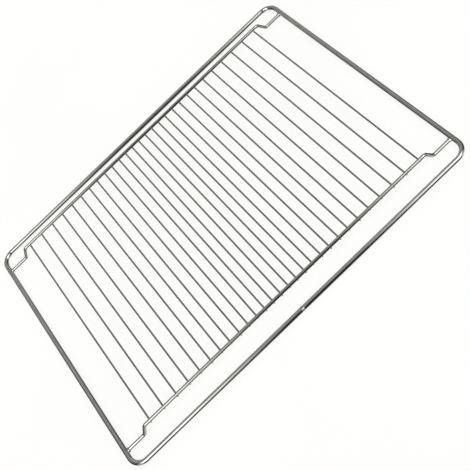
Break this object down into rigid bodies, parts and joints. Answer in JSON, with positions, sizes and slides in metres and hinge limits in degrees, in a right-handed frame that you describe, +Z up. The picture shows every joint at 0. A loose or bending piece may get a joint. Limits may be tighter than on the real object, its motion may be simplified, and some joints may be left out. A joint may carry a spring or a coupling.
{
  "type": "cooling rack",
  "caption": "Rectangular chrome wire rack on which hot bakes cool: a thick outer frame carrying a raised grid of thin cross wires.",
  "frame": {"origin": "middle of the rack on the plane that the frame rests on", "axes": "+Z up; X along the length, left to right; +Y from the welded front side to the rear side"},
  "size_m": [0.463, 0.3513, 0.0172],
  "materials": {
    "frame_wire": "bright chrome plate on drawn wire, faint drawing lines along the wire",
    "weld_metal": "chrome plate over dressed weld metal, slightly rougher than the wire",
    "carrier_wire": "bright chrome plate on drawn wire",
    "cross_wire": "bright chrome plate on thin straightened wire, snipped ends"
  },
  "bodies": {
    "root": {"outer_frame": "frame_wire", "frame_butt_weld": "weld_metal", "front_carrier": "carrier_wire", "rear_carrier": "carrier_wire", "cross_wire_01": "cross_wire", "cross_wire_02": "cross_wire", "cross_wire_03": "cross_wire", "cross_wire_04": "cross_wire", "cross_wire_05": "cross_wire", "cross_wire_06": "cross_wire", "cross_wire_07": "cross_wire", "cross_wire_08": "cross_wire", "cross_wire_09": "cross_wire", "cross_wire_10": "cross_wire", "cross_wire_11": "cross_wire", "cross_wire_12": "cross_wire", "cross_wire_13": "cross_wire", "cross_wire_14": "cross_wire", "cross_wire_15": "cross_wire", "cross_wire_16": "cross_wire", "cross_wire_17": "cross_wire", "cross_wire_18": "cross_wire", "cross_wire_19": "cross_wire", "cross_wire_20": "cross_wire", "cross_wire_21": "cross_wire", "cross_wire_22": "cross_wire", "cross_wire_23": "cross_wire", "cross_wire_24": "cross_wire", "cross_wire_25": "cross_wire", "cross_wire_26": "cross_wire", "cross_wire_27": "cross_wire", "cross_wire_28": "cross_wire"}
  },
  "joints": []
}
